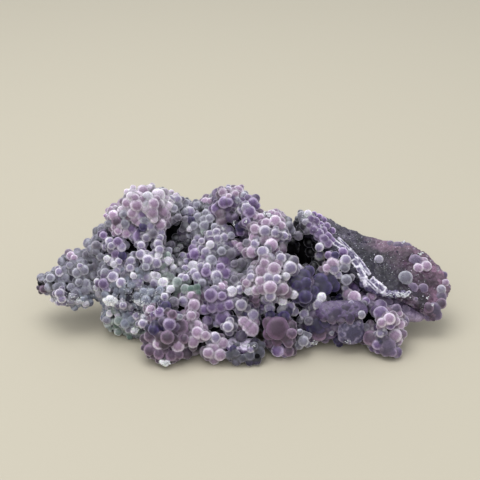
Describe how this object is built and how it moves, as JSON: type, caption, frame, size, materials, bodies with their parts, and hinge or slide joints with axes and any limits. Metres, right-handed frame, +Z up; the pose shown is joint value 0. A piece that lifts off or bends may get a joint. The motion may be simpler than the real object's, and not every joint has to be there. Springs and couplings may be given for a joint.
{
  "type": "grape agate",
  "caption": "Crust of violet botryoidal chalcedony, knobbly with fused balls, with a smooth curved blade rising at its right end.",
  "frame": {"origin": "under the middle of the stone's box, on the plane that it rests on", "axes": "+X along the length, towards the smooth blade; -Y towards the open face of the bunches; +Z up"},
  "size_m": [0.171, 0.0668, 0.0541],
  "materials": {
    "grape_agate": "frosty, with a waxy gloss"
  },
  "bodies": {
    "root": {"grape_agate": "grape_agate"}
  },
  "joints": []
}
